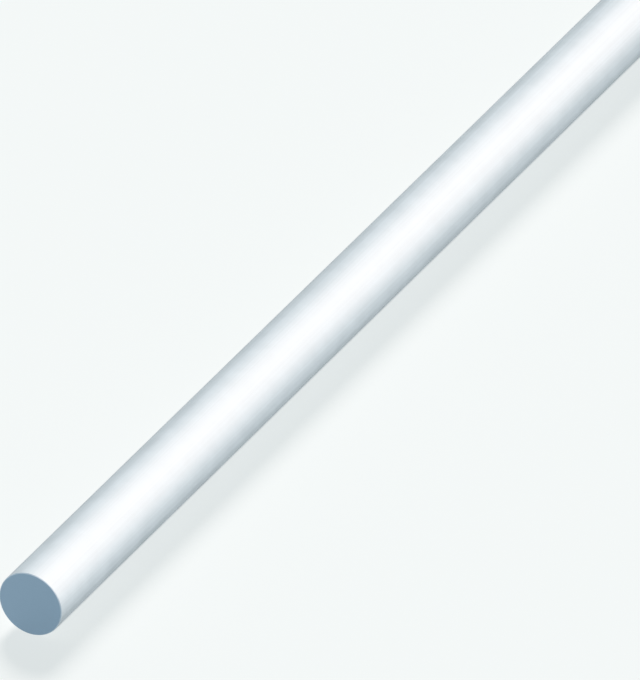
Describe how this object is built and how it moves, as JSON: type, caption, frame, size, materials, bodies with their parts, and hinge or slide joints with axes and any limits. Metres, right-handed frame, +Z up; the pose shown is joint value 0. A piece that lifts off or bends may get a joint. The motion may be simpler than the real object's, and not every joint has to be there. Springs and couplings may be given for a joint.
{
  "type": "solid round aluminium bar",
  "caption": "Straight solid round bar of mill-finish aluminium stock, sawn square at both ends with a filed edge break, for framing, axles, pins and turned parts.",
  "frame": {"origin": "on the floor under the middle of the bar, which lies on its side", "axes": "+X along the bar's axis from one sawn end to the other, +Z up"},
  "size_m": [1, 0.02, 0.02],
  "materials": {
    "mill_aluminium": "drawn mill finish, satin, with sawn ends"
  },
  "bodies": {
    "root": {"round_bar": "mill_aluminium"}
  },
  "joints": []
}
